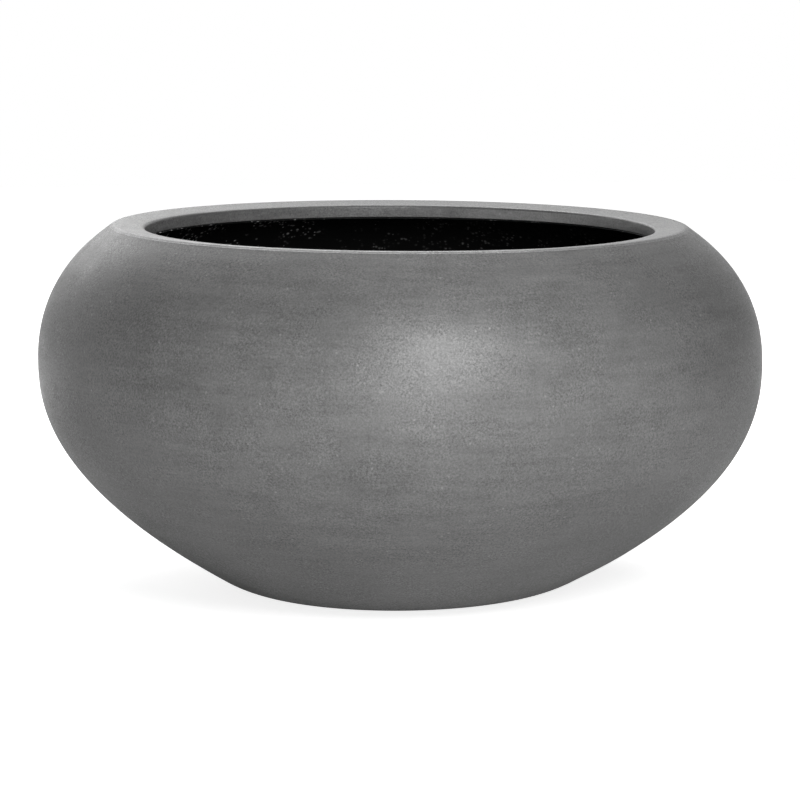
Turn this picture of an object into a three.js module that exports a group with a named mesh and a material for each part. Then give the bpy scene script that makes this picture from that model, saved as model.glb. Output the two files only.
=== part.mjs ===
// A round concrete bowl planter: a thin, hand-laid fibre-cement bowl with a wide belly, a narrow ring
// around its mouth and a black sealed inside. Its wall is a laminate of four layers. A rubber stopper
// closes the drain hole in its floor, and four rubber pads keep it off the ground.
//
// Millimetres, +Z up. The origin is on the ground, under the middle of the bowl. Heights that belong to
// the bowl are measured from its own underside, which the pads lift off the ground.

import * as THREE from "three";

// Outline of the bowl, from the foot to the mouth.
const FOOT_RADIUS = 120; // where the flank, carried on straight, would meet the underside
const FOOT_ROUND = 92; // radius of the soft turn from the underside into the flank
const FLANK_ANGLE = 29.5; // degrees above the ground at which the flank leaves the foot
const BELLY_RADIUS = 275;
const BELLY_HEIGHT = 178;
const BOWL_HEIGHT = 281.5; // to the crest, the highest edge, before it is eased
const SHOULDER_WIDTH = 58; // from the belly in to the crest
const SHOULDER_ANGLE = 40; // degrees below level at which the shoulder leaves the crest
const RING_WIDTH = 24; // from the crest in to the mouth
const RING_FALL = 2.5; // how far the ring drops from the crest to the mouth
const CREST_EASE = 3; // radius of the sanded crest

// Fullness of the two curves that meet at the belly: how far each runs on straight before it bends,
// as a share of its own span.
const FLANK_RUN = 0.96;
const BELLY_RUN_BELOW = 0.2;
const BELLY_RUN_ABOVE = 0.66;
const SHOULDER_RUN = 0.16;

// Layers of the wall, from outside to inside.
const FACE_THICKNESS = 2.5;
const MAT_THICKNESS = 0.8;
const CORE_THICKNESS = 5.6;
const SEAL_THICKNESS = 1;
const GAP = 0.3; // between neighbouring pieces

// Drain hole and its stopper.
const DRAIN_RADIUS = 11;
const STOPPER_LENGTH = 9; // of the shank, below the flange
const STOPPER_TAPER = 1.2; // by which the shank's tip is slimmer in radius than its top
const FLANGE_LAP = 6; // from the edge of the hole to the edge of the flange
const FLANGE_THICKNESS = 3;
const GRIP_NECK_RADIUS = 4.5;
const GRIP_NECK_HEIGHT = 6;
const GRIP_HEAD_RADIUS = 8;
const GRIP_HEAD_HEIGHT = 4;
const STOPPER_EASE = 1; // cut off the stopper's outer edges
const WELL_DEPTH = 0.5; // of the shallow well in the sealing coat that the flange lies in
const WELL_MARGIN = 1.5; // from the edge of the flange to the edge of the well

// Pads under the base.
const PAD_COUNT = 4;
const PAD_RADIUS = 12;
const PAD_HEIGHT = 3;
const PAD_MARGIN = 16; // from the edge of the flat underside in to a pad
const PAD_EASE = 0.6; // cut off a pad's lower edge

// Facets.
const BOWL_SIDES = 48;
const SMALL_SIDES = 24;
const FOOT_STEPS = 2;
const FLANK_STEPS = 6;
const SHOULDER_STEPS = 5;

// Depths below the outer surface at which each layer starts.
const MAT_DEPTH = FACE_THICKNESS + GAP;
const CORE_DEPTH = MAT_DEPTH + MAT_THICKNESS + GAP;
const WALL_THICKNESS = CORE_DEPTH + CORE_THICKNESS; // also the height of the lip
const SEAL_DEPTH = WALL_THICKNESS + GAP;
const FLOOR_HEIGHT = SEAL_DEPTH + SEAL_THICKNESS;
const WELL_HEIGHT = FLOOR_HEIGHT - WELL_DEPTH;

const flangeRadius = DRAIN_RADIUS + FLANGE_LAP;
const wellRadius = flangeRadius + WELL_MARGIN;

const crestRadius = BELLY_RADIUS - SHOULDER_WIDTH;
const mouthRadius = crestRadius - RING_WIDTH;
const layerEnd = mouthRadius + FACE_THICKNESS + GAP;
const crest = new THREE.Vector2(crestRadius, BOWL_HEIGHT);

// Directions of travel along the outline, which goes out along the underside, up, and in to the mouth.
const alongFlank = direction(THREE.MathUtils.degToRad(FLANK_ANGLE));
const upShoulder = direction(Math.PI - THREE.MathUtils.degToRad(SHOULDER_ANGLE));
const downRing = new THREE.Vector2(-RING_WIDTH, -RING_FALL).normalize();

// The soft turn at the foot touches the underside and the flank this far from their corner.
const footReach = FOOT_ROUND * Math.tan(THREE.MathUtils.degToRad(FLANK_ANGLE) / 2);
const flatRadius = FOOT_RADIUS - footReach;
const footEnd = new THREE.Vector2(FOOT_RADIUS, 0).addScaledVector(alongFlank, footReach);

const footTurn = new THREE.EllipseCurve(
  flatRadius,
  FOOT_ROUND,
  FOOT_ROUND,
  FOOT_ROUND,
  -Math.PI / 2,
  -Math.PI / 2 + THREE.MathUtils.degToRad(FLANK_ANGLE),
);
const belly = new THREE.Vector2(BELLY_RADIUS, BELLY_HEIGHT);
const flankSpan = (BELLY_RADIUS - footEnd.x) / alongFlank.x;
const flank = new THREE.CubicBezierCurve(
  footEnd,
  footEnd.clone().addScaledVector(alongFlank, FLANK_RUN * flankSpan),
  new THREE.Vector2(BELLY_RADIUS, BELLY_HEIGHT - BELLY_RUN_BELOW * (BELLY_HEIGHT - footEnd.y)),
  belly,
);
const crestReach = CREST_EASE * Math.tan(crestTurn() / 2);
const shoulderEnd = crest.clone().addScaledVector(upShoulder, -crestReach);
const shoulder = new THREE.CubicBezierCurve(
  belly,
  new THREE.Vector2(BELLY_RADIUS, BELLY_HEIGHT + BELLY_RUN_ABOVE * (BOWL_HEIGHT - BELLY_HEIGHT)),
  shoulderEnd.clone().addScaledVector(upShoulder, -SHOULDER_RUN * SHOULDER_WIDTH),
  shoulderEnd,
);

// The unit vector at an angle, in radians, from straight out towards up.
function direction(angle) {
  return new THREE.Vector2(Math.cos(angle), Math.sin(angle));
}

// The way out of the wall, to the right of a direction of travel.
function outward(travel) {
  return new THREE.Vector2(travel.y, -travel.x);
}

// The angle through which the outline turns at the crest.
function crestTurn() {
  return Math.acos(upShoulder.dot(downRing));
}

// Points along a curve, moved into the wall by a depth.
function inset(curve, steps, depth) {
  return Array.from({ length: steps + 1 }, (_, step) => {
    const travel = curve.getTangent(step / steps);
    return curve.getPoint(step / steps).addScaledVector(outward(travel), -depth);
  });
}

// The corner between the shoulder and the ring, both moved into the wall by a depth.
function crestCorner(depth) {
  const both = outward(upShoulder).add(outward(downRing));
  const stretch = 1 + outward(upShoulder).dot(outward(downRing));
  return crest.clone().addScaledVector(both, -depth / stretch);
}

// The sanded crest: the end of the shoulder, the middle of its round, and the start of the ring.
function easedCrest() {
  const ringStart = crest.clone().addScaledVector(downRing, crestReach);
  const inwardHalf = outward(upShoulder).add(outward(downRing)).normalize();
  const top = CREST_EASE * (1 / Math.cos(crestTurn() / 2) - 1);
  return [crest.clone().addScaledVector(inwardHalf, -top), ringStart];
}

// The point of the ring, moved into the wall by a depth, at a radius.
function onRing(depth, radius) {
  const corner = crestCorner(depth);
  return new THREE.Vector2(radius, corner.y + (radius - corner.x) * (downRing.y / downRing.x));
}

// The outline from the drain hole to the crest, moved into the wall by a depth.
function skin(depth) {
  const corner = crestCorner(depth);
  const beforeCrest = (point) => depth === 0 || point.x > corner.x + CREST_EASE;
  return [
    new THREE.Vector2(DRAIN_RADIUS, depth),
    ...inset(footTurn, FOOT_STEPS, depth),
    ...inset(flank, FLANK_STEPS, depth).slice(1),
    ...inset(shoulder, SHOULDER_STEPS, depth).slice(1).filter(beforeCrest),
    ...(depth === 0 ? easedCrest() : [corner]),
  ];
}

// A solid turned about the vertical axis from a profile of radii and heights, which goes up its outside.
function turned(profile, sides) {
  return new THREE.LatheGeometry(profile, sides).rotateX(Math.PI / 2);
}

// An inner layer of the wall between two depths, from the drain hole to the back of the lip.
function layer(outerDepth, innerDepth) {
  const outside = [...skin(outerDepth), onRing(outerDepth, layerEnd)];
  const inside = [...skin(innerDepth), onRing(innerDepth, layerEnd)];
  return turned([...outside, ...inside.reverse(), outside[0]], BOWL_SIDES);
}

// The face coat covers the outside and turns down inside the mouth, over the ends of the mat and the
// core, as the lip.
function faceCoat() {
  const lipBack = mouthRadius + FACE_THICKNESS;
  const outside = [
    ...skin(0),
    onRing(0, mouthRadius),
    onRing(WALL_THICKNESS, mouthRadius),
    onRing(WALL_THICKNESS, lipBack),
    onRing(FACE_THICKNESS, lipBack),
  ];
  return turned([...outside, ...skin(FACE_THICKNESS).reverse(), outside[0]], BOWL_SIDES);
}

// The sealing coat covers the whole inside up to the lip, and is thinner in the well round the hole.
function sealingCoat() {
  const [, ...aboveFloor] = skin(FLOOR_HEIGHT);
  const inside = [
    new THREE.Vector2(DRAIN_RADIUS, WELL_HEIGHT),
    new THREE.Vector2(wellRadius, WELL_HEIGHT),
    new THREE.Vector2(wellRadius, FLOOR_HEIGHT),
    ...aboveFloor,
    onRing(FLOOR_HEIGHT, mouthRadius),
  ];
  const outside = [...skin(SEAL_DEPTH), onRing(SEAL_DEPTH, mouthRadius)];
  return turned([...outside, ...inside.reverse(), outside[0]], BOWL_SIDES);
}

// The stopper: a tapered shank in the drain hole, a flange in the well, and a knob to pull it by.
function drainPlug() {
  const shankTop = DRAIN_RADIUS - GAP;
  const neckTop = FLANGE_THICKNESS + GRIP_NECK_HEIGHT;
  const gripTop = neckTop + GRIP_HEAD_HEIGHT;
  const profile = [
    [0, -STOPPER_LENGTH],
    [shankTop - STOPPER_TAPER - STOPPER_EASE, -STOPPER_LENGTH],
    [shankTop - STOPPER_TAPER, STOPPER_EASE - STOPPER_LENGTH],
    [shankTop, 0],
    [flangeRadius, 0],
    [flangeRadius, FLANGE_THICKNESS - STOPPER_EASE],
    [flangeRadius - STOPPER_EASE, FLANGE_THICKNESS],
    [GRIP_NECK_RADIUS, FLANGE_THICKNESS],
    [GRIP_NECK_RADIUS, neckTop],
    [GRIP_HEAD_RADIUS - STOPPER_EASE, neckTop],
    [GRIP_HEAD_RADIUS, neckTop + STOPPER_EASE],
    [GRIP_HEAD_RADIUS, gripTop - STOPPER_EASE],
    [GRIP_HEAD_RADIUS - STOPPER_EASE, gripTop],
    [0, gripTop],
  ];
  return turned(profile.map(([radius, height]) => new THREE.Vector2(radius, height)), SMALL_SIDES);
}

// A round pad with its lower edge cut back.
function footPad() {
  const profile = [
    [0, 0],
    [PAD_RADIUS - PAD_EASE, 0],
    [PAD_RADIUS, PAD_EASE],
    [PAD_RADIUS, PAD_HEIGHT],
    [0, PAD_HEIGHT],
  ];
  return turned(profile.map(([radius, height]) => new THREE.Vector2(radius, height)), SMALL_SIDES);
}

function piece(name, geometry, material) {
  const mesh = new THREE.Mesh(geometry, new THREE.MeshStandardMaterial(material));
  mesh.name = name;
  return mesh;
}

const sandedCement = { color: 0x7b7b7a, roughness: 0.55, metalness: 0 };
const glassFibre = { color: 0xd9d8cf, roughness: 0.7, metalness: 0 };
const rawCement = { color: 0x8d8b86, roughness: 0.95, metalness: 0 };
const blackSealer = { color: 0x101010, roughness: 0.5, metalness: 0 };
const blackRubber = { color: 0x1c1c1d, roughness: 0.8, metalness: 0 };

const planter = new THREE.Group();

const bowl = new THREE.Group();
bowl.position.z = PAD_HEIGHT + GAP;
bowl.add(
  piece("face_coat", faceCoat(), sandedCement),
  piece("glass_mat", layer(MAT_DEPTH, MAT_DEPTH + MAT_THICKNESS), glassFibre),
  piece("cement_core", layer(CORE_DEPTH, WALL_THICKNESS), rawCement),
  piece("sealing_coat", sealingCoat(), blackSealer),
);
planter.add(bowl);

const plug = piece("drain_plug", drainPlug(), blackRubber);
plug.position.z = WELL_HEIGHT + GAP;
bowl.add(plug);

const padCircle = flatRadius - PAD_MARGIN - PAD_RADIUS;
for (let index = 0; index < PAD_COUNT; index += 1) {
  const angle = ((index + 0.5) / PAD_COUNT) * 2 * Math.PI;
  const pad = piece(`foot_pad_${index + 1}`, footPad(), blackRubber);
  pad.position.set(padCircle * Math.cos(angle), padCircle * Math.sin(angle), 0);
  planter.add(pad);
}

export default planter;
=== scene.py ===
"""A hand-made concrete bowl planter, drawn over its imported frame.

The bowl's wall is a laminate: a sanded cement face, a glass-fibre mat, a fibre-cement core and a black
sealing coat. Each layer is one section, worked out from the same outline at its own depth, turned about
the vertical axis and then pushed slightly out of true, as a bowl laid up and sanded by hand is. A rubber
stopper closes the drain hole and four rubber pads carry the bowl.

Everything is in metres, +Z up, in the frame's own axes. Heights named for the bowl are above its own
underside, which the pads lift off the floor.
"""

import math

import bpy
import numpy as np
from bpy.props import FloatProperty, FloatVectorProperty, PointerProperty
from mathutils import Matrix, Vector


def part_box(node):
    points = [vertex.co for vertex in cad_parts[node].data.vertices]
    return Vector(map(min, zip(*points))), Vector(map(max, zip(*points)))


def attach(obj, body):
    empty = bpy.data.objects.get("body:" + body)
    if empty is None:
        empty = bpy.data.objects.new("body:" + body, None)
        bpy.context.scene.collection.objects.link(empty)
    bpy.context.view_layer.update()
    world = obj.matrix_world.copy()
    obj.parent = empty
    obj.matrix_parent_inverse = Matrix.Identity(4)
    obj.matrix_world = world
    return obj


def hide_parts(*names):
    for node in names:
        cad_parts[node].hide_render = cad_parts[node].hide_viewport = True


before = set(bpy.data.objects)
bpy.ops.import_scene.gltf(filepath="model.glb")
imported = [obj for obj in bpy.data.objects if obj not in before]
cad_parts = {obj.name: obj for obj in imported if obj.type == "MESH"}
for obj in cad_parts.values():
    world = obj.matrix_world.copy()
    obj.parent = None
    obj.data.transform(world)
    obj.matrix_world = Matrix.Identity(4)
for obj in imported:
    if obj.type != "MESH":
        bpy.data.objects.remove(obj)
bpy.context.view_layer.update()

bl_info = {
    "name": "Concrete bowl planter",
    "version": (1, 0, 0),
    "blender": (4, 5, 0),
    "location": "3D View > Sidebar > Planter",
    "description": "Builds a hand-made concrete bowl planter around its packed frame",
    "category": "Add Mesh",
}

MM = 0.001
FULL_TURN = 2 * math.pi

# Sizes that the frame already holds.
FACE_LOW, FACE_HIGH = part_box("face_coat")
MAT_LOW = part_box("glass_mat")[0]
CORE_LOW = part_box("cement_core")[0]
SEAL_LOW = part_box("sealing_coat")[0]
PLUG_LOW, PLUG_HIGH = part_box("drain_plug")
PAD_NODES = sorted(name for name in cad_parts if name.startswith("foot_pad_"))
PAD_LOW, PAD_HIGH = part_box(PAD_NODES[0])

UNDERSIDE = FACE_LOW.z
BELLY_RADIUS = FACE_HIGH.x
GAP = UNDERSIDE - PAD_HIGH.z
MAT_DEPTH = MAT_LOW.z - UNDERSIDE
CORE_DEPTH = CORE_LOW.z - UNDERSIDE
SEAL_DEPTH = SEAL_LOW.z - UNDERSIDE
FACE_THICKNESS = MAT_DEPTH - GAP
MAT_THICKNESS = CORE_DEPTH - MAT_DEPTH - GAP
WALL_THICKNESS = SEAL_DEPTH - GAP
PLUG_RADIUS = PLUG_HIGH.x
PAD_RADIUS = (PAD_HIGH.x - PAD_LOW.x) / 2
PAD_HEIGHT = PAD_HIGH.z - PAD_LOW.z

# Room left inside the frame's width for the bowl's hand-made bulges.
HAND_ROOM = 0.3 * MM


def length(name, description, default):
    """A size in metres for a settings panel, given in millimetres."""
    return FloatProperty(name=name, description=description, default=default * MM, unit="LENGTH", precision=5)


def share(name, description, default):
    """A share of a whole, from 0 to about 1."""
    return FloatProperty(name=name, description=description, default=default, min=0.0, soft_max=1.0)


def turn(name, description, degrees):
    """An angle for a settings panel, given in degrees."""
    return FloatProperty(name=name, description=description, default=math.radians(degrees), unit="ROTATION")


def colour(name, description, default):
    """A colour in linear light."""
    return FloatVectorProperty(
        name=name, description=description, default=default, subtype="COLOR", size=3, min=0.0, max=1.0
    )


class OutlineSettings(bpy.types.PropertyGroup):
    """The bowl's outline, from the foot to the mouth"""

    belly_radius: FloatProperty(
        name="Belly radius", description="Widest radius", default=BELLY_RADIUS - HAND_ROOM, unit="LENGTH"
    )
    belly_height: length("Belly height", "Height of the widest part", 176.7)
    bowl_height: length("Bowl height", "Mean height of the crest before it is eased", 278.0)
    foot_radius: length("Foot radius", "Where the flank, carried on straight, meets the underside", 120)
    foot_round: length("Foot round", "Radius of the turn from the underside into the flank", 93)
    flank_angle: turn("Flank angle", "Angle above the floor at which the flank leaves the foot", 29.3)
    shoulder_width: length("Shoulder width", "From the belly in to the crest", 57.7)
    shoulder_angle: turn("Shoulder angle", "Angle below level at which the shoulder leaves the crest", 40.1)
    ring_width: length("Ring width", "From the crest in to the mouth", 24.1)
    ring_fall: length("Ring fall", "Drop of the ring from the crest to the mouth", 2.8)
    flank_run: share("Flank run", "How far the flank runs on straight, as a share of its span", 0.968)
    belly_run_below: share("Belly run below", "How upright the belly stays below its widest part", 0.2)
    belly_run_above: share("Belly run above", "How upright the belly stays above its widest part", 0.644)
    shoulder_run: share("Shoulder run", "How far the shoulder runs on straight from the crest", 0.172)
    crest_ease: length("Crest ease", "Radius of the sanded crest", 6)
    lip_ease: length("Lip ease", "Radius of the edge between the ring and the lip", 2.4)
    edge_ease: length("Edge ease", "Radius of the small edges", 0.5)
    drain_radius: length("Drain radius", "Radius of the drain hole", 11)
    seal_thickness: length("Sealing coat", "Thickness of the black sealing coat", 1)
    well_radius: length("Well radius", "Radius of the well that the stopper's flange lies in", 18.5)
    well_depth: length("Well depth", "Depth of that well", 0.5)


class HandSettings(bpy.types.PropertyGroup):
    """How far the hand-made bowl is out of true"""

    lean: turn("Lean", "Slope of the rim, down to the right", 0.78)
    nod: turn("Nod", "Slope of the rim, down to the front", 0.06)
    flank_sway: length("Flank sway", "How far the low flank bulges to the right", 3)
    flank_sway_height: length("Flank sway height", "Height of that bulge's middle", 64)
    flank_sway_reach: length("Flank sway reach", "Height over which that bulge fades", 66)
    rim_sway: length("Rim sway", "How far the rim lies to the right", 0.9)
    foot_wear: length("Foot wear", "How far the foot is worn away on the right", 2.2)
    foot_wear_height: length("Foot wear height", "Height of the worn part's middle", 10)
    ripple: length("Ripple", "Depth of the sanded surface's long hollows", 0.25)


class FinishSettings(bpy.types.PropertyGroup):
    """Colours of the finishes, in linear light"""

    cement: colour("Face cement", "Colour of the sanded face", (0.115, 0.115, 0.1145))
    core: colour("Core cement", "Colour of the fibre-cement core", (0.26, 0.255, 0.245))
    glass_fibre: colour("Glass fibre", "Colour of the glass-fibre mat", (0.6, 0.59, 0.55))
    # Darker than any black paint: the black coat, and also a painted shade for the dark inside of the bowl.
    sealer_and_shade: colour("Sealer", "Colour of the black sealing coat", (0.002, 0.002, 0.002))
    rubber: colour("Rubber", "Colour of the stopper and the pads", (0.012, 0.012, 0.013))


class StageSettings(bpy.types.PropertyGroup):
    """Camera and studio"""

    camera_distance: FloatProperty(
        name="Camera distance", description="From the camera to its target", default=2.662, unit="LENGTH"
    )
    camera_elevation: turn("Camera elevation", "Angle of the view below level", 7.96)
    camera_roll: turn("Camera roll", "Tilt of the camera", -0.45)
    target_height: length("Target height", "Height on the axis that the camera looks at", 145.96)
    lens: FloatProperty(name="Lens", description="Focal length in millimetres", default=156.95)


def settings():
    """All the planter's settings, as the scene holds them."""
    return bpy.context.scene.planter


# ---------------------------------------------------------------- outline

FOOT_STEPS = 16
FLANK_STEPS = 70
SHOULDER_STEPS = 44
FEWEST_STEPS = 3
EASE_STEPS = 7
WELL_EASE_STEPS = 4

# Steps of the sides that don't show, as shares of the counts above.
BACK_FINENESS = 0.6
LAYER_FINENESS = 0.5

# A bend below this many radians counts as straight.
STRAIGHT = 1e-4

# The edges of a thin layer are eased by up to this share of its thickness.
EASED_SHARE = 0.4
WELL_EASES = [0.2 * MM, 0.2 * MM, 0.2 * MM, 0.1 * MM]

# A point this close to the mouth's radius lies on the lip's face.
LIP_TOLERANCE = 0.05 * MM


def heading(angle):
    """The unit vector at an angle from straight out towards up."""
    return np.array([math.cos(angle), math.sin(angle)])


def outward(travel):
    """The way out of the wall: a direction of travel turned a quarter to the right."""
    return np.stack([travel[..., 1], -travel[..., 0]], axis=-1)


def bezier(start, leave, arrive, end, steps):
    """Places and unit travel along a cubic Bezier curve: the four points weighted by
    (1-t)^3, 3(1-t)^2 t, 3(1-t) t^2 and t^3, and the curve's derivative made unit length."""
    t = np.linspace(0, 1, steps + 1)[:, None]
    s = 1 - t
    place = s**3 * start + 3 * s**2 * t * leave + 3 * s * t**2 * arrive + t**3 * end
    travel = s**2 * (leave - start) + 2 * s * t * (arrive - leave) + t**2 * (end - arrive)
    return place, travel / np.linalg.norm(travel, axis=1, keepdims=True)


def eased(corners, radii, steps=EASE_STEPS):
    """A broken line with each inner corner rounded: an arc of the corner's radius that touches both of
    its sides, which is a slerp between the two unit vectors from the arc's centre to where it touches."""
    corners = np.asarray(corners, float)
    rounded = [corners[:1]]
    for before, corner, after, radius in zip(corners, corners[1:], corners[2:], radii):
        back = (before - corner) / np.linalg.norm(before - corner)
        on = (after - corner) / np.linalg.norm(after - corner)
        opening = math.acos(float(np.clip(back @ on, -1, 1)))
        bend = math.pi - opening
        if radius <= 0 or bend < STRAIGHT:
            rounded.append(corner[None])
            continue
        reach = radius * math.tan(bend / 2)
        centre = corner + (back + on) / np.linalg.norm(back + on) * radius / math.sin(opening / 2)
        t = np.linspace(0, 1, steps)[:, None]
        first, last = corner + reach * back - centre, corner + reach * on - centre
        rounded.append(centre + (np.sin((1 - t) * bend) * first + np.sin(t * bend) * last) / math.sin(bend))
    rounded.append(corners[-1:])
    return np.concatenate(rounded)


class Outline:
    """The bowl's outline in radius and height above the underside, at any depth in the wall."""

    def __init__(self, o):
        self.o = o
        reach = o.foot_round * math.tan(o.flank_angle / 2)
        self.flat_radius = o.foot_radius - reach
        self.up_flank = heading(o.flank_angle)
        self.foot_end = np.array([o.foot_radius, 0.0]) + reach * self.up_flank
        self.up_shoulder = heading(math.pi - o.shoulder_angle)
        self.down_ring = np.array([-o.ring_width, -o.ring_fall]) / math.hypot(o.ring_width, o.ring_fall)
        self.crest_radius = o.belly_radius - o.shoulder_width
        self.mouth_radius = self.crest_radius - o.ring_width
        self.crest = np.array([self.crest_radius, o.bowl_height])
        self.crest_bend = math.acos(float(self.up_shoulder @ self.down_ring))

    def corner(self, depth):
        """The crest's corner at a depth: both sides move in by the depth, so the corner moves along
        the sum of their outward directions."""
        both = outward(self.up_shoulder) + outward(self.down_ring)
        stretch = 1 + outward(self.up_shoulder) @ outward(self.down_ring)
        return self.crest - both * depth / stretch

    def ring(self, depth, radius):
        """The point of the ring at a depth and a radius."""
        corner = self.corner(depth)
        slope = self.down_ring[1] / self.down_ring[0]
        return np.array([radius, corner[1] + (radius - corner[0]) * slope])

    def wall(self, depth, fineness=1.0):
        """The outline from the flat underside to the shoulder's end, moved into the wall by a depth:
        an arc for the foot, and two Bezier curves that meet at the belly, each offset along its
        outward direction. Inside the wall the shoulder stops where the crest's arc needs room."""
        o = self.o
        counts = (FOOT_STEPS, FLANK_STEPS, SHOULDER_STEPS)
        steps = [max(FEWEST_STEPS, round(fineness * count)) for count in counts]
        angle = np.linspace(-math.pi / 2, -math.pi / 2 + o.flank_angle, steps[0] + 1)
        arc = np.stack([np.cos(angle), np.sin(angle)], axis=1)
        foot = np.array([self.flat_radius, o.foot_round]) + (o.foot_round - depth) * arc
        belly = np.array([o.belly_radius, o.belly_height])
        span = (o.belly_radius - self.foot_end[0]) / self.up_flank[0]
        below = np.array([0, o.belly_run_below * (o.belly_height - self.foot_end[1])])
        leave = self.foot_end + o.flank_run * span * self.up_flank
        place, travel = bezier(self.foot_end, leave, belly - below, belly, steps[1])
        flank = place - depth * outward(travel)
        end = self.crest - o.crest_ease * math.tan(self.crest_bend / 2) * self.up_shoulder
        above = np.array([0, o.belly_run_above * (o.bowl_height - o.belly_height)])
        arrive = end - o.shoulder_run * o.shoulder_width * self.up_shoulder
        place, travel = bezier(belly, belly + above, arrive, end, steps[2])
        shoulder = place - depth * outward(travel)
        clear = self.corner(depth)[0] + o.crest_ease * math.sin(o.shoulder_angle) + MM
        if depth > 0:
            shoulder = shoulder[shoulder[:, 0] > clear]
        return np.concatenate([foot, flank[1:], shoulder[1:]])


def closed_section(outside, rim, inside, hole):
    """A closed section from a layer's outer side, its rim, its inner side and its hole, each of their
    shared points once."""
    return np.concatenate([outside[:-1], rim, inside[::-1][1:-1], hole[:-1]])


def hole_wall(outline, outside, inside, outer, inner, ease):
    """The drain hole's wall between two depths, from a layer's inner side back to its outer side."""
    radius = outline.o.drain_radius
    return eased([inside[0], (radius, inner), (radius, outer), outside[0]], [ease, ease])


def layer_section(outline, outer, inner, end_radius):
    """The closed section of a layer between two depths: out along its outer side, over the crest and
    in along the ring, then back along its inner side to the drain hole."""
    o = outline.o
    outside, inside = (outline.wall(depth, LAYER_FINENESS) for depth in (outer, inner))
    ease = min(o.edge_ease, (inner - outer) * EASED_SHARE)
    rim = eased(
        [
            outside[-1],
            outline.corner(outer),
            outline.ring(outer, end_radius),
            outline.ring(inner, end_radius),
            outline.corner(inner),
            inside[-1],
        ],
        [o.crest_ease, ease, ease, o.crest_ease],
    )
    hole = hole_wall(outline, outside, inside, outer, inner, ease)
    return closed_section(outside, rim, inside, hole)


def face_section(outline):
    """The face coat's closed section: its outer side, the crest, the ring, the lip that turns down
    inside the mouth, and back behind them to the drain hole."""
    o = outline.o
    outside, inside = outline.wall(0), outline.wall(FACE_THICKNESS, BACK_FINENESS)
    mouth, lip_back = outline.mouth_radius, outline.mouth_radius + FACE_THICKNESS
    rim = eased(
        [
            outside[-1],
            outline.crest,
            outline.ring(0, mouth),
            outline.ring(WALL_THICKNESS, mouth),
            outline.ring(WALL_THICKNESS, lip_back),
            outline.ring(FACE_THICKNESS, lip_back),
            outline.corner(FACE_THICKNESS),
            inside[-1],
        ],
        [o.crest_ease, o.lip_ease, o.edge_ease, o.edge_ease, 0.0, o.crest_ease],
    )
    hole = hole_wall(outline, outside, inside, 0, FACE_THICKNESS, o.edge_ease)
    return closed_section(outside, rim, inside, hole)


def lengths_along(section):
    """The length along a section from its start to each of its points."""
    return np.concatenate([[0], np.cumsum(np.linalg.norm(np.diff(section, axis=0), axis=1))])


def rim_runs(outline, section):
    """Lengths along the face coat's section at which the ring starts, and the lip's face starts and
    ends."""
    along = lengths_along(section)
    at_mouth = section[:, 0] < outline.mouth_radius + LIP_TOLERANCE
    lip = along[at_mouth & (section[:, 1] > outline.o.belly_height)]
    return along[section[:, 1].argmax()], lip.min(), lip.max()


def seal_section(outline):
    """The sealing coat's closed section, with the shallow well round the drain hole."""
    o = outline.o
    inner = SEAL_DEPTH + o.seal_thickness
    well = inner - o.well_depth
    outside, inside = outline.wall(SEAL_DEPTH, BACK_FINENESS), outline.wall(inner)
    mouth = outline.mouth_radius
    ease = o.seal_thickness * EASED_SHARE
    rim = eased(
        [
            outside[-1],
            outline.corner(SEAL_DEPTH),
            outline.ring(SEAL_DEPTH, mouth),
            outline.ring(inner, mouth),
            outline.corner(inner),
            inside[-1],
        ],
        [o.crest_ease, ease, ease, o.crest_ease],
    )
    hole = eased(
        [
            inside[0],
            (o.well_radius, inner),
            (o.well_radius, well),
            (o.drain_radius, well),
            (o.drain_radius, SEAL_DEPTH),
            outside[0],
        ],
        WELL_EASES,
        WELL_EASE_STEPS,
    )
    return closed_section(outside, rim, inside, hole)


# ---------------------------------------------------------------- surfaces

BOWL_SIDES = 256
LAYER_SIDES = BOWL_SIDES // 2
STOPPER_SIDES = 96
PAD_SIDES = 72

# The longest straight side of a section, where it shows and where it doesn't.
FACE_SPREAD = 6 * MM
LAYER_SPREAD = 10 * MM

# The sanded hollows: their seed, how many waves run round the bowl, and how many half waves up it.
RIPPLE_SEED = 7
RIPPLES_ROUND = (2, 3, 5, 7)
RIPPLES_UP = (1, 2, 4)

# Height above the underside over which the bowl starts to depart from a true turning.
BASE_FADE = 15 * MM

# Length along a section over which an edge counts as sharp: the cement makes its sharp edges smoother and
# paints them darker, a painted shade.
WORN_REACH = 4 * MM


def spread(section, widest):
    """A closed section with points added along its long straight sides, so that no side is longer
    than a given length."""
    ends = np.roll(section, -1, axis=0)
    sides = np.linalg.norm(ends - section, axis=1)
    counts = np.maximum(1, np.ceil(sides / widest)).astype(int)
    index = np.repeat(np.arange(len(section)), counts)
    step = np.arange(counts.sum()) - np.repeat(np.cumsum(counts) - counts, counts)
    share_of_side = (step / counts[index])[:, None]
    return section[index] * (1 - share_of_side) + ends[index] * share_of_side


def ripple(angle, height, h):
    """Long shallow hollows in the sanded surface: a sum of products of a sine of the turn and a sine
    of the height, weaker the finer they are and with seeded phases, scaled to lie between 0 and the
    ripple's depth, inwards."""
    rng = np.random.default_rng(RIPPLE_SEED)
    waves = [(around, up) for around in RIPPLES_ROUND for up in RIPPLES_UP]
    total = np.zeros(np.broadcast(angle, height).shape)
    for around, up in waves:
        phase, shift = rng.uniform(0, FULL_TURN, 2)
        total += np.sin(around * angle + phase) * np.sin(up * math.pi * height + shift) / (around + up)
    return -h.ripple * 0.5 * (1 + total / np.abs(total).max())


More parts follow.
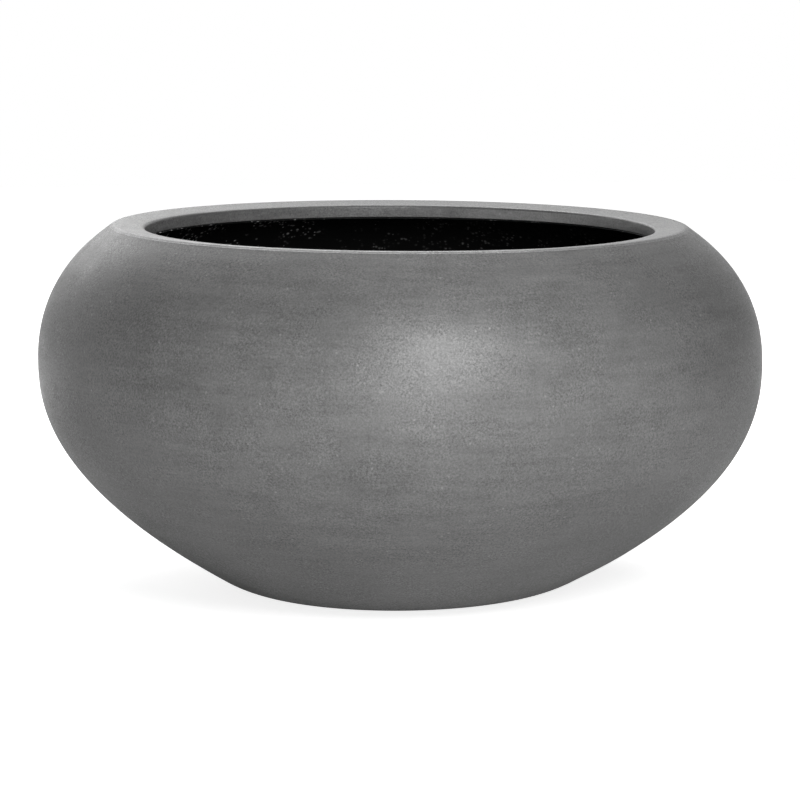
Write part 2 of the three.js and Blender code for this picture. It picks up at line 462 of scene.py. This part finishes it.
def made_by_hand(points, h, bowl_height):
    """Points of a true turning, moved as the hand-made bowl departs from it. Ripples, and a foot worn
    rounder on the right, move a point towards the axis. A bulge of the low flank, a bell curve of the
    height, and a sway of the rim, which grows with the height's fourth power, move it to the right. The
    rim's slopes, down to the right and a little to the front, lower it by its own x and y times their
    tangents and the height's power of 1.5. All of it fades out towards the underside, so that the base
    stays flat."""
    radius = np.hypot(points[:, 0], points[:, 1])
    angle = np.arctan2(points[:, 1], points[:, 0])
    height = np.clip((points[:, 2] - UNDERSIDE) / bowl_height, 0, None)
    above_base = 1 - np.exp(-((height * bowl_height / BASE_FADE) ** 2))
    moved = points.copy()
    worn = np.exp(-(((height * bowl_height - h.foot_wear_height) / h.foot_wear_height) ** 2))
    worn = h.foot_wear * worn * np.clip(np.cos(angle), 0, None) ** 2
    squeeze = 1 + (ripple(angle, height, h) - worn) * above_base / np.maximum(radius, MM)
    moved[:, :2] *= squeeze[:, None]
    low = np.exp(-(((height * bowl_height - h.flank_sway_height) / h.flank_sway_reach) ** 2))
    moved[:, 0] += (h.flank_sway * low + h.rim_sway * height**4) * above_base
    moved[:, 2] -= height**1.5 * (math.tan(h.lean) * points[:, 0] - math.tan(h.nod) * points[:, 1])
    return moved


def mesh_object(name, points, faces, **attributes):
    """A smooth-shaded mesh object at the origin from arrays of points and faces, with a number for each
    point in each attribute."""
    mesh = bpy.data.meshes.new(name)
    mesh.from_pydata(points, [], faces)
    for key, values in attributes.items():
        attribute = mesh.attributes.new(key, "FLOAT", "POINT")
        attribute.data.foreach_set("value", values.astype(np.float32))
    mesh.shade_smooth()
    mesh.update()
    made = bpy.data.objects.new(name, mesh)
    bpy.context.scene.collection.objects.link(made)
    return made


def sharpness(section, reach):
    """How sharply a closed section turns at each of its points: the change of its heading between a
    reach before the point and a reach after it, as a share of a right angle."""
    sides = np.roll(section, -1, axis=0) - section
    lengths = np.linalg.norm(sides, axis=1)
    start = np.cumsum(lengths) - lengths
    headings = np.unwrap(np.arctan2(sides[:, 1], sides[:, 0]))
    once_round = FULL_TURN * np.sign(headings[-1] - headings[0])
    laps = np.array([-1, 0, 1])[:, None]
    places = (start + lengths / 2 + laps * lengths.sum()).ravel()
    headings = (headings + laps * once_round).ravel()
    change = np.interp(start + reach, places, headings) - np.interp(start - reach, places, headings)
    return np.clip(np.abs(change) / (math.pi / 2), 0, 1)


def turned_layer(name, section, sides):
    """A layer of the bowl, turned from a closed section that stays off the axis and then moved out of
    true: each section point (r, z) goes to (r cos a, r sin a, z) for evenly spaced angles a, and both
    directions of the grid close on themselves. The attribute run holds the length along the section,
    and worn how sharply it turns."""
    planter = settings()
    angle = np.linspace(0, FULL_TURN, sides, endpoint=False)
    radius, height = section[:, 0], section[:, 1] + UNDERSIDE
    points = np.stack(
        [
            radius[:, None] * np.cos(angle),
            radius[:, None] * np.sin(angle),
            np.broadcast_to(height[:, None], (len(section), sides)),
        ],
        axis=-1,
    ).reshape(-1, 3)
    points = made_by_hand(points, planter.hand, planter.outline.bowl_height)
    row, column = np.meshgrid(np.arange(len(section)), np.arange(sides), indexing="ij")
    next_row, next_column = (row + 1) % len(section), (column + 1) % sides
    corners = [(row, column), (row, next_column), (next_row, next_column), (next_row, column)]
    faces = np.stack([r * sides + c for r, c in corners], axis=-1).reshape(-1, 4)
    run = np.repeat(lengths_along(section), sides)
    # worn, how sharply the section turns, also darkens the cement's sharp edges: a painted shade.
    worn = np.repeat(sharpness(section, WORN_REACH), sides)
    return mesh_object(name, points, faces, run=run, worn=worn)


def turned_solid(name, section, centre, sides):
    """A solid turned from a section that starts and ends on its own axis: the rows between the ends
    are rings of quads, and each end is one point with a fan of triangles."""
    angle = np.linspace(0, FULL_TURN, sides, endpoint=False)
    inner = section[1:-1]
    rings = np.stack(
        [
            centre[0] + inner[:, 0, None] * np.cos(angle),
            centre[1] + inner[:, 0, None] * np.sin(angle),
            np.broadcast_to(centre[2] + inner[:, 1, None], (len(inner), sides)),
        ],
        axis=-1,
    ).reshape(-1, 3)
    poles = [[centre[0], centre[1], centre[2] + section[end, 1]] for end in (0, -1)]
    points = np.concatenate([rings, poles])
    first, last = len(rings), len(rings) + 1
    column = np.arange(sides)
    beside = (column + 1) % sides
    row = np.arange(len(inner) - 1)[:, None] * sides
    quads = np.stack([row + column, row + beside, row + sides + beside, row + sides + column], axis=-1)
    top = (len(inner) - 1) * sides
    bottom_fan = np.stack([np.full(sides, first), beside, column], axis=-1)
    top_fan = np.stack([np.full(sides, last), top + column, top + beside], axis=-1)
    faces = quads.reshape(-1, 4).tolist() + bottom_fan.tolist() + top_fan.tolist()
    return mesh_object(name, points, faces)


# ---------------------------------------------------------------- finishes

# A cell has its fleck in full when its random number passes the limit by this much.
FLECK_EDGE = 0.02

# The ring's painted highlight fades in over RING_IN and out over RING_OUT, and the lip's own finish starts
# within LIP_IN of its face and ends within LIP_OUT on both sides of the black coat's edge.
RING_IN = 4 * MM
RING_OUT = 2 * MM
LIP_IN = MM
LIP_OUT = 0.5 * MM


class Signal:
    """A number that varies over a surface: one output socket of a shader tree. Arithmetic on it adds
    the Math nodes that work it out."""

    def __init__(self, tree, socket):
        self.tree, self.socket = tree, socket

    def beside(self, output):
        """Another output of the same node."""
        return Signal(self.tree, self.socket.node.outputs[output])

    def math(self, operation, *others):
        made = self.tree.nodes.new("ShaderNodeMath")
        made.operation = operation
        for place, value in enumerate((self, *others)):
            plug_in(self.tree, made.inputs[place], value)
        return Signal(self.tree, made.outputs[0])

    def __add__(self, other):
        return self.math("ADD", other)

    def __sub__(self, other):
        return self.math("SUBTRACT", other)

    def __rsub__(self, other):
        return (self * -1) + other

    def __mul__(self, other):
        return self.math("MULTIPLY", other)

    __radd__ = __add__
    __rmul__ = __mul__


def plug_in(tree, socket, value):
    """Sets a socket to a plain value, or links a signal or another node's socket to it."""
    if isinstance(value, Signal):
        value = value.socket
    if isinstance(value, bpy.types.NodeSocket):
        tree.links.new(value, socket)
    else:
        socket.default_value = value


class Nodes:
    """The nodes of a material or a world, up to the shader that its output shows."""

    def __init__(self, owner, output_kind, shader_kind):
        owner.use_nodes = True
        self.owner, self.tree = owner, owner.node_tree
        self.tree.nodes.clear()
        self.shader = self.tree.nodes.new(shader_kind)
        output = self.tree.nodes.new(output_kind)
        self.tree.links.new(self.shader.outputs[0], output.inputs["Surface"])

    def node(self, kind, output, settings=None, **sockets):
        """Adds a node of a type, sets its settings first and then its sockets, and gives its output."""
        made = self.tree.nodes.new(kind)
        for key, value in (settings or {}).items():
            setattr(made, key, value)
        for key, value in sockets.items():
            plug_in(self.tree, made.inputs[key.replace("_", " ")], value)
        return Signal(self.tree, made.outputs[output])

    def ramp(self, value, low, high):
        """0 below low, 1 above high, and smooth between."""
        smooth = {"interpolation_type": "SMOOTHSTEP"}
        return self.node("ShaderNodeMapRange", "Result", smooth, Value=value, From_Min=low, From_Max=high)

    def scaled(self, vector, factor):
        """A colour or a vector multiplied by a number."""
        by_number = {"operation": "SCALE"}
        return self.node("ShaderNodeVectorMath", "Vector", by_number, Vector=vector, Scale=factor)

    def finish(self, **sockets):
        """Sets or links the shader's sockets."""
        for key, value in sockets.items():
            plug_in(self.tree, self.shader.inputs[key.replace("_", " ")], value)
        return self.owner


class Finish(Nodes):
    """A material made of nodes, with one Principled shader."""

    def __init__(self, name):
        made = bpy.data.materials.new(name)
        super().__init__(made, "ShaderNodeOutputMaterial", "ShaderNodeBsdfPrincipled")

    def place(self):
        """A point's place in the frame at rest, in metres."""
        return self.node("ShaderNodeTexCoord", "Object")

    def point_value(self, name):
        """A number that the mesh holds for each of its points."""
        return self.node("ShaderNodeAttribute", "Fac", {"attribute_name": name})

    def along_section(self):
        """Coordinates that follow the turned surface: x and y, and the length along the section."""
        x = self.node("ShaderNodeSeparateXYZ", "X", Vector=self.place())
        return self.node("ShaderNodeCombineXYZ", "Vector", X=x, Y=x.beside("Y"), Z=self.point_value("run"))

    def stretched(self, vector, scale):
        """Coordinates multiplied along each axis, which draws a pattern out along the others."""
        return self.node("ShaderNodeMapping", "Vector", Vector=vector, Scale=scale)

    def noise(self, vector, size, detail=2.0, roughness=0.5):
        """Noise from -1 to 1 whose features are about the given size, in metres."""
        made = self.node(
            "ShaderNodeTexNoise", "Fac", Vector=vector, Scale=1 / size, Detail=detail, Roughness=roughness
        )
        return made * 2 - 1

    def flecks(self, vector, size, share_of_cells, spread_of_fleck):
        """Round flecks in a random share of the cells of a pattern whose cells are about the given
        size, in metres: 1 in their middles and 0 past their spread, which is a share of that size."""
        cells = self.node("ShaderNodeTexVoronoi", "Distance", Vector=vector, Scale=1 / size)
        chosen = self.node("ShaderNodeSeparateColor", "Red", Color=cells.beside("Color"))
        near = 1 - self.ramp(cells, 0.0, spread_of_fleck)
        return near * self.ramp(chosen, 1 - share_of_cells, 1 - share_of_cells + FLECK_EDGE)

    def bump(self, height, distance, strength):
        """Normals of a relief whose height of 1 stands a distance in metres off the surface."""
        return self.node("ShaderNodeBump", "Normal", Height=height, Distance=distance, Strength=strength)


def sanded_cement(finishes, ring_start, lip_start, lip_end):
    """Sanded grey cement: soft clouds, bands and finer strokes that run round the bowl from the sanding,
    a sandy grain that comes and goes in patches, sparse light and dark flecks and small pits. The sharp
    edges are smoother and painted darker, a painted shade that tones down their highlight. The ring's top
    is painted paler, a painted highlight for the white backdrop's reflection in it. The lip's face is
    stained, rougher and paler, more so towards the right."""
    f = Finish("sanded_cement")
    place = f.place()
    follow = f.along_section()
    clouds = f.noise(place, 0.10, 3, 0.55)
    blotches = f.noise(place, 0.017, 3, 0.62)
    bands = f.noise(f.stretched(follow, (1.0, 1.0, 9.0)), 0.09, 4, 0.6)
    strokes = f.noise(f.stretched(follow, (1.0, 1.0, 12.0)), 0.03, 3, 0.6)
    sandy = f.ramp(f.noise(place, 0.028, 2, 0.5), -0.45, 0.35) * 0.6 + 0.55
    grain = f.noise(place, 0.0014, 2, 0.75) * sandy
    light = f.flecks(place, 0.0048, 0.13, 0.27) * sandy
    dark = f.flecks(place, 0.009, 0.12, 0.16)
    pits = f.flecks(place, 0.03, 0.16, 0.035)
    # Painted shade: the sharp edges, at the crest and the lip, are painted darker to tone down their
    # highlight; they are also smoother.
    edges = f.ramp(f.point_value("worn"), 0.1, 0.7)
    run = f.point_value("run")
    # Painted highlight: the ring's top is painted paler, standing in for the white backdrop's reflection in
    # it.
    past_crest = f.ramp(run, ring_start, ring_start + RING_IN)
    ring = past_crest * (1 - f.ramp(run, lip_start - RING_OUT, lip_start))
    past_ring = f.ramp(run, lip_start - LIP_IN, lip_start)
    # The lip's face: stained, rougher and paler, more so towards the right.
    lip_face = past_ring * (1 - f.ramp(run, lip_end - LIP_OUT, lip_end + LIP_OUT))
    to_right = f.ramp(f.node("ShaderNodeSeparateXYZ", "X", Vector=place), 0.0, 0.13)
    stains = f.noise(f.stretched(place, (1.0, 1.0, 2.5)), 0.012, 3, 0.65)
    shade = (
        1
        + clouds * 0.19
        + blotches * 0.17
        + bands * 0.25
        + strokes * 0.16
        + grain * 0.95
        + light * 0.75
        - dark * 0.18
        - pits * 0.35
        # painted shade on the sharp edges
        - edges * 0.2
        # painted highlight on the ring
        + ring * 0.35
        # the lip's face paler, more so towards the right, and stained
        + lip_face * (stains * 0.5 + to_right + 0.28)
    )
    roughness = (
        0.45
        + blotches * 0.10
        + bands * 0.08
        - grain * 0.28
        - light * 0.1
        - edges * 0.06
        + lip_face * 0.2
    )
    relief = (
        grain * 0.7
        + light * 0.5
        - dark * 0.8
        - pits * 4.0
        + blotches * 0.8
        + lip_face * stains * 3.0
    )
    return f.finish(
        Base_Color=f.scaled(tuple(finishes.cement), shade),
        Roughness=roughness,
        Normal=f.bump(relief, 0.00012, 0.8),
        IOR=1.5,
    )


def core_cement(finishes):
    """Raw fibre cement: pale, cloudy, coarse and pitted."""
    f = Finish("core_cement")
    place = f.place()
    clouds = f.noise(place, 0.03, 4, 0.6)
    grain = f.noise(place, 0.0014, 3, 0.7)
    pits = f.flecks(place, 0.005, 0.3, 0.25)
    shade = 1 + clouds * 0.12 + grain * 0.25 - pits * 0.4
    return f.finish(
        Base_Color=f.scaled(tuple(finishes.core), shade),
        Roughness=0.92,
        Normal=f.bump(grain - pits * 2, 0.0003, 0.8),
    )


def glass_fibre(finishes):
    """Chopped glass-fibre mat wetted with cement: crossing strands, paler than what lies between."""
    f = Finish("glass_fibre")
    place = f.place()
    one_way = f.noise(f.stretched(place, (1.0, 9.0, 9.0)), 0.012, 3, 0.6)
    other_way = f.noise(f.stretched(place, (9.0, 1.0, 9.0)), 0.012, 3, 0.6)
    strands = one_way.math("MAXIMUM", other_way)
    return f.finish(
        Base_Color=f.scaled(tuple(finishes.glass_fibre), 0.75 + strands * 0.4),
        Roughness=0.6,
        Normal=f.bump(strands, 0.0003, 0.7),
    )


def black_sealer(finishes):
    """Black sealing coat, brushed on: nearly no colour, low brush ripples, and specks of cement that
    splashed over it below the lip, in patches and mostly on the left."""
    f = Finish("black_sealer")
    place = f.place()
    brushed = f.noise(f.stretched(f.along_section(), (1.0, 1.0, 6.0)), 0.02, 3, 0.6)
    grain = f.noise(place, 0.002, 2, 0.6)
    x = f.node("ShaderNodeSeparateXYZ", "X", Vector=place)
    leftwards = 1 - f.ramp(x, -0.14, 0.04)
    high = f.ramp(x.beside("Z"), 0.17, 0.25)
    patches = f.ramp(f.noise(place, 0.022, 2, 0.5), -0.1, 0.2) * (leftwards * 0.8 + 0.2) * high
    dust = (f.flecks(place, 0.0036, 0.45, 0.5) + f.flecks(place, 0.0023, 0.25, 0.5)) * patches
    return f.finish(
        # The sealer's colour carries painted shade: darker than black paint, for the dark inside of the bowl.
        Base_Color=f.scaled(tuple(finishes.sealer_and_shade), 1 + grain * 0.5 + dust * 280),
        Roughness=0.66 + brushed * 0.08,
        Normal=f.bump(brushed * 0.6 + grain * 0.4 + dust, 0.0002, 0.5),
        IOR=1.33,
    )


def black_rubber(finishes):
    """Matt black moulded rubber with a fine spark-eroded grain and a little pale dust."""
    f = Finish("black_rubber")
    place = f.place()
    grain = f.noise(place, 0.0006, 2, 0.6)
    dust = f.ramp(f.noise(place, 0.006, 3, 0.6), 0.1, 0.9)
    return f.finish(
        Base_Color=f.scaled(tuple(finishes.rubber), 1 + grain * 0.3 + dust * 1.5),
        Roughness=0.72 + grain * 0.08,
        Normal=f.bump(grain, 0.00005, 0.6),
    )


# ---------------------------------------------------------------- pieces


def dress(made, body, node, material):
    """Finishes a piece: its material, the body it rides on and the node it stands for."""
    made.data.materials.append(material)
    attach(made, body)
    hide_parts(node)


SHANK_LENGTH = 9 * MM
SHANK_TIP_RADIUS = 9.5 * MM
SHANK_TOP_RADIUS = 10.7 * MM
FLANGE_THICKNESS = 3 * MM
NECK_RADIUS = 4.5 * MM
NECK_HEIGHT = 6 * MM
HEAD_RADIUS = 8 * MM
TIP_EASE = 1 * MM
FLANGE_UNDER_EASE = 0.2 * MM
FLANGE_LOW_EASE = 0.4 * MM
FLANGE_TOP_EASE = 1 * MM
NECK_FOOT_EASE = 1.5 * MM
HEAD_EASE = 1.2 * MM
STOPPER_EASE_STEPS = 5

# The shank's two grooves: the heights of their middles, and each one's corners as a height from its
# middle and a depth. The upper side slopes out to the next corner.
GROOVE_MIDDLES = (0.35 * SHANK_LENGTH, 0.7 * SHANK_LENGTH)
GROOVE_CORNERS = ((-0.8 * MM, 0), (-0.4 * MM, 0.5 * MM), (0.4 * MM, 0.5 * MM))
GROOVE_EASE = 0.3 * MM

# Inner radii of the round grooves in a pad's underside.
PAD_GROOVES = (3.0 * MM, 6.0 * MM, 9.0 * MM)
PAD_GROOVE_WIDTH = 0.8 * MM
PAD_GROOVE_DEPTH = 0.4 * MM
PAD_GROOVE_EASE = 0.1 * MM
PAD_LOW_EASE = 0.6 * MM
PAD_TOP_EASE = 0.2 * MM
PAD_EASE_STEPS = 4


def eased_profile(corners, steps):
    """A section from corners that each hold a radius, a height and how far they are rounded."""
    corners = np.array(corners, float)
    return eased(corners[:, :2], corners[1:-1, 2], steps)


def stopper_section():
    """The stopper's section from the tip of its shank to the top of its knob: a tapered shank with two
    grooves, a flange, a neck and a rounded knob."""
    top = PLUG_HIGH.z - PLUG_LOW.z
    flange_top = SHANK_LENGTH + FLANGE_THICKNESS
    neck_top = flange_top + NECK_HEIGHT
    taper = (SHANK_TOP_RADIUS - SHANK_TIP_RADIUS) / SHANK_LENGTH
    corners = [(0, 0, 0), (SHANK_TIP_RADIUS, 0, TIP_EASE)]
    for middle in GROOVE_MIDDLES:
        for rise, depth in GROOVE_CORNERS:
            height = middle + rise
            corners.append((SHANK_TIP_RADIUS + taper * height - depth, height, GROOVE_EASE))
    corners += [
        (SHANK_TOP_RADIUS, SHANK_LENGTH, FLANGE_UNDER_EASE),
        (PLUG_RADIUS, SHANK_LENGTH, FLANGE_LOW_EASE),
        (PLUG_RADIUS, flange_top, FLANGE_TOP_EASE),
        (NECK_RADIUS, flange_top, NECK_FOOT_EASE),
        (NECK_RADIUS, neck_top, HEAD_EASE),
        (HEAD_RADIUS, neck_top, HEAD_EASE),
        (HEAD_RADIUS, top, HEAD_EASE),
        (0, top, 0),
    ]
    return eased_profile(corners, STOPPER_EASE_STEPS)


def pad_section():
    """A pad's section from the middle of its ribbed underside to the middle of its top."""
    corners = [(0, 0, 0)]
    for near in PAD_GROOVES:
        far = near + PAD_GROOVE_WIDTH
        corners += [
            (near, 0, PAD_GROOVE_EASE),
            (near, PAD_GROOVE_DEPTH, PAD_GROOVE_EASE),
            (far, PAD_GROOVE_DEPTH, PAD_GROOVE_EASE),
            (far, 0, PAD_GROOVE_EASE),
        ]
    corners += [(PAD_RADIUS, 0, PAD_LOW_EASE), (PAD_RADIUS, PAD_HEIGHT, PAD_TOP_EASE), (0, PAD_HEIGHT, 0)]
    return eased_profile(corners, PAD_EASE_STEPS)


class PLANTER_OT_face_coat(bpy.types.Operator):
    """Adds the sanded cement face, with the ring and the lip of the mouth"""

    bl_idname = "planter.face_coat"
    bl_label = "Face coat"

    def execute(self, context):
        planter = settings()
        outline = Outline(planter.outline)
        section = spread(face_section(outline), FACE_SPREAD)
        made = turned_layer("bowl_face", section, BOWL_SIDES)
        cement = sanded_cement(planter.finish, *rim_runs(outline, section))
        dress(made, "bowl", "face_coat", cement)
        return {"FINISHED"}


class PLANTER_OT_inner_layers(bpy.types.Operator):
    """Adds the glass-fibre mat and the fibre-cement core inside the wall"""

    bl_idname = "planter.inner_layers"
    bl_label = "Inner layers"

    def execute(self, context):
        planter = settings()
        outline = Outline(planter.outline)
        end = outline.mouth_radius + FACE_THICKNESS + GAP
        mat = layer_section(outline, MAT_DEPTH, MAT_DEPTH + MAT_THICKNESS, end)
        core = layer_section(outline, CORE_DEPTH, WALL_THICKNESS, end)
        made = turned_layer("reinforcing_mat", spread(mat, LAYER_SPREAD), LAYER_SIDES)
        dress(made, "bowl", "glass_mat", glass_fibre(planter.finish))
        made = turned_layer("backing_core", spread(core, LAYER_SPREAD), LAYER_SIDES)
        dress(made, "bowl", "cement_core", core_cement(planter.finish))
        return {"FINISHED"}


class PLANTER_OT_sealing_coat(bpy.types.Operator):
    """Adds the black sealing coat over the inside"""

    bl_idname = "planter.sealing_coat"
    bl_label = "Sealing coat"

    def execute(self, context):
        planter = settings()
        section = spread(seal_section(Outline(planter.outline)), FACE_SPREAD)
        made = turned_layer("inner_seal", section, BOWL_SIDES)
        dress(made, "bowl", "sealing_coat", black_sealer(planter.finish))
        return {"FINISHED"}


class PLANTER_OT_drain_plug(bpy.types.Operator):
    """Adds the rubber stopper of the drain hole"""

    bl_idname = "planter.drain_plug"
    bl_label = "Drain stopper"

    def execute(self, context):
        made = turned_solid("stopper", stopper_section(), (0, 0, PLUG_LOW.z), STOPPER_SIDES)
        dress(made, "stopper", "drain_plug", black_rubber(settings().finish))
        return {"FINISHED"}


class PLANTER_OT_foot_pads(bpy.types.Operator):
    """Adds the rubber pads under the base"""

    bl_idname = "planter.foot_pads"
    bl_label = "Foot pads"

    def execute(self, context):
        material = black_rubber(settings().finish)
        section = pad_section()
        for number, node in enumerate(PAD_NODES, start=1):
            low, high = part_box(node)
            middle = (low + high) / 2
            made = turned_solid(f"pad_{number}", section, (middle.x, middle.y, low.z), PAD_SIDES)
            dress(made, "bowl", node, material)
        return {"FINISHED"}


# ---------------------------------------------------------------- stage

# The camera: its sensor's width in millimetres, and how far it sees in metres.
SENSOR_WIDTH = 36
VIEW_REACH = 50

# Strength of the weak even light that reaches the object from all round.
AMBIENT = 0.06

# How far to the left of straight behind the bowl the white backdrop stands, in degrees, and the parts
# of a direction towards it between which a reflection turns white.
BACKDROP_TURN = 20
BACKDROP_FADE = (0.3, 0.9)

# The floor: half its width, its colour, its glow as the camera sees it at the bowl, which grows to
# white over SHADOW_FADE in metres from the axis, its glow as it reaches the object, and the distances
# behind the bowl between which its reflection turns white.
FLOOR_HALF = 4.0
FLOOR_GREY = 0.75
FLOOR_GLOW = 0.8
SHADOW_FADE = (0.35, 0.9)
FLOOR_BOUNCE = 0.25
FLOOR_FADE = (0.2, 1.2)

# Soft boxes: azimuth to the right of the camera's side and elevation in degrees, width and height in
# metres and power in watts. All face the bowl's axis at the height SOFTBOX_AIM, from SOFTBOX_DISTANCE.
SOFTBOXES = {
    "key": (14.5, 28, 0.42, 0.8, 29.5),
    "front_fill": (4, 3, 0.8, 0.8, 15.5),
    "rim_left": (-155, 30, 1.2, 1.2, 8),
    "rim_back": (180, 55, 1.2, 1.2, 22),
}
SOFTBOX_DISTANCE = 2.0
SOFTBOX_AIM = 0.15


def add_camera(stage):
    """A camera at the photograph's viewing angle: it looks at a point on the bowl's axis from in front
    and slightly above, and is rolled about its own line of sight."""
    target = Vector((0, 0, stage.target_height))
    rise = stage.camera_elevation
    back = Vector((0, -math.cos(rise), math.sin(rise)))
    right, up = Vector((1, 0, 0)), Vector((0, math.sin(rise), math.cos(rise)))
    roll = stage.camera_roll
    across = math.cos(roll) * right + math.sin(roll) * up
    upright = -math.sin(roll) * right + math.cos(roll) * up
    camera = bpy.data.objects.new("camera", bpy.data.cameras.new("camera"))
    camera.data.lens = stage.lens
    camera.data.sensor_width = SENSOR_WIDTH
    camera.data.clip_end = VIEW_REACH
    place = Matrix((across, upright, back)).transposed().to_4x4()
    place.translation = target + stage.camera_distance * back
    camera.matrix_world = place
    bpy.context.scene.collection.objects.link(camera)
    bpy.context.scene.camera = camera


def add_softbox(name, azimuth, elevation, width, height, power):
    """A soft light that faces a point on the bowl's axis. Azimuth is measured to the right of the
    camera's side."""
    a, e = math.radians(azimuth), math.radians(elevation)
    away = Vector((math.sin(a) * math.cos(e), -math.cos(a) * math.cos(e), math.sin(e)))
    data = bpy.data.lights.new(name, "AREA")
    data.shape = "RECTANGLE"
    data.size, data.size_y = width, height
    data.energy = power
    light = bpy.data.objects.new(name, data)
    light.location = Vector((0, 0, SOFTBOX_AIM)) + SOFTBOX_DISTANCE * away
    light.rotation_mode = "QUATERNION"
    light.rotation_quaternion = away.to_track_quat("Z", "Y")
    bpy.context.scene.collection.objects.link(light)


def seen_or_mirrored(nodes, behind):
    """Two signals: how white a surface or the world is, which is 1 where the camera sees it and behind
    where a mirror or glass does, and 1 where a mirror or glass sees it."""
    seen = nodes.node("ShaderNodeLightPath", "Is Camera Ray")
    mirrored = seen.beside("Is Glossy Ray").math("MAXIMUM", seen.beside("Is Transmission Ray"))
    return seen.math("MAXIMUM", mirrored * behind), mirrored


def backwards(nodes, vector):
    """How far a place or a direction lies behind the bowl, towards the backdrop, which stands turned to
    the left."""
    turned = nodes.node(
        "ShaderNodeMapping", "Vector", Vector=vector, Rotation=(0, 0, -math.radians(BACKDROP_TURN))
    )
    return nodes.node("ShaderNodeSeparateXYZ", "Y", Vector=turned)


def add_world():
    """A white surround for the camera, a white backdrop behind the bowl in reflections, and a weak even
    light from all round."""
    world = bpy.context.scene.world = bpy.data.worlds.new("studio")
    sky = Nodes(world, "ShaderNodeOutputWorld", "ShaderNodeBackground")
    behind = backwards(sky, sky.node("ShaderNodeTexCoord", "Generated"))
    white, mirrored = seen_or_mirrored(sky, sky.ramp(behind, *BACKDROP_FADE))
    sky.finish(Color=(1, 1, 1, 1), Strength=white + (1 - white) * (1 - mirrored) * AMBIENT)


def add_floor():
    """A pale floor that the camera sees as white away from the bowl's shadow."""
    half = FLOOR_HALF
    points = np.array([(-half, -half, 0), (half, -half, 0), (half, half, 0), (-half, half, 0)])
    floor = mesh_object("studio_floor", points, np.array([[0, 1, 2, 3]]))
    f = Finish("floor_white")
    place = f.place()
    white, mirrored = seen_or_mirrored(f, f.ramp(backwards(f, place), *FLOOR_FADE))
    distance = f.node("ShaderNodeVectorMath", "Value", {"operation": "LENGTH"}, Vector=place)
    away = f.ramp(distance, *SHADOW_FADE)
    glow = white * (away * (1 - FLOOR_GLOW) + FLOOR_GLOW) + (1 - white) * (1 - mirrored) * FLOOR_BOUNCE
    f.finish(
        Base_Color=(FLOOR_GREY, FLOOR_GREY, FLOOR_GREY, 1),
        Roughness=0.9,
        Specular_IOR_Level=0.0,
        Emission_Color=f.scaled((1, 1, 1), glow),
        Emission_Strength=1.0,
    )
    floor.data.materials.append(f.owner)


class PLANTER_OT_stage(bpy.types.Operator):
    """Adds the floor, the studio light and the camera"""

    bl_idname = "planter.stage"
    bl_label = "Stage"

    def execute(self, context):
        add_camera(settings().stage)
        add_world()
        add_floor()
        for name, box in SOFTBOXES.items():
            add_softbox(name, *box)
        context.scene.view_settings.view_transform = "Standard"
        return {"FINISHED"}


# ---------------------------------------------------------------- add-on


class PlanterSettings(bpy.types.PropertyGroup):
    """All the planter's settings"""

    outline: PointerProperty(type=OutlineSettings, name="Outline", description="The bowl's outline")
    hand: PointerProperty(type=HandSettings, name="Hand", description="How far the bowl is out of true")
    finish: PointerProperty(type=FinishSettings, name="Finishes", description="Colours of the finishes")
    stage: PointerProperty(type=StageSettings, name="Stage", description="Camera and studio")


class PLANTER_PT_panel(bpy.types.Panel):
    """Lists the planter's settings and its pieces"""

    bl_idname = "PLANTER_PT_panel"
    bl_label = "Concrete bowl planter"
    bl_space_type = "VIEW_3D"
    bl_region_type = "UI"
    bl_category = "Planter"

    def draw(self, context):
        planter = context.scene.planter
        for group in (planter.outline, planter.hand, planter.finish, planter.stage):
            box = self.layout.box()
            box.label(text=group.bl_rna.description)
            for name in group.__annotations__:
                box.prop(group, name)
        for operator in OPERATORS:
            self.layout.operator(operator.bl_idname)


OPERATORS = (
    PLANTER_OT_face_coat,
    PLANTER_OT_inner_layers,
    PLANTER_OT_sealing_coat,
    PLANTER_OT_drain_plug,
    PLANTER_OT_foot_pads,
    PLANTER_OT_stage,
)
CLASSES = (
    OutlineSettings,
    HandSettings,
    FinishSettings,
    StageSettings,
    PlanterSettings,
    *OPERATORS,
    PLANTER_PT_panel,
)


def register():
    """Adds the classes, and the settings to the scene."""
    for cls in CLASSES:
        bpy.utils.register_class(cls)
    bpy.types.Scene.planter = PointerProperty(type=PlanterSettings)


def unregister():
    """Takes the settings and the classes away again."""
    del bpy.types.Scene.planter
    for cls in reversed(CLASSES):
        bpy.utils.unregister_class(cls)


def main():
    """Makes the stage and the pieces in order."""
    register()
    bpy.ops.planter.stage()
    bpy.ops.planter.face_coat()
    bpy.ops.planter.inner_layers()
    bpy.ops.planter.sealing_coat()
    bpy.ops.planter.drain_plug()
    bpy.ops.planter.foot_pads()


if __name__ == "__main__":
    main()
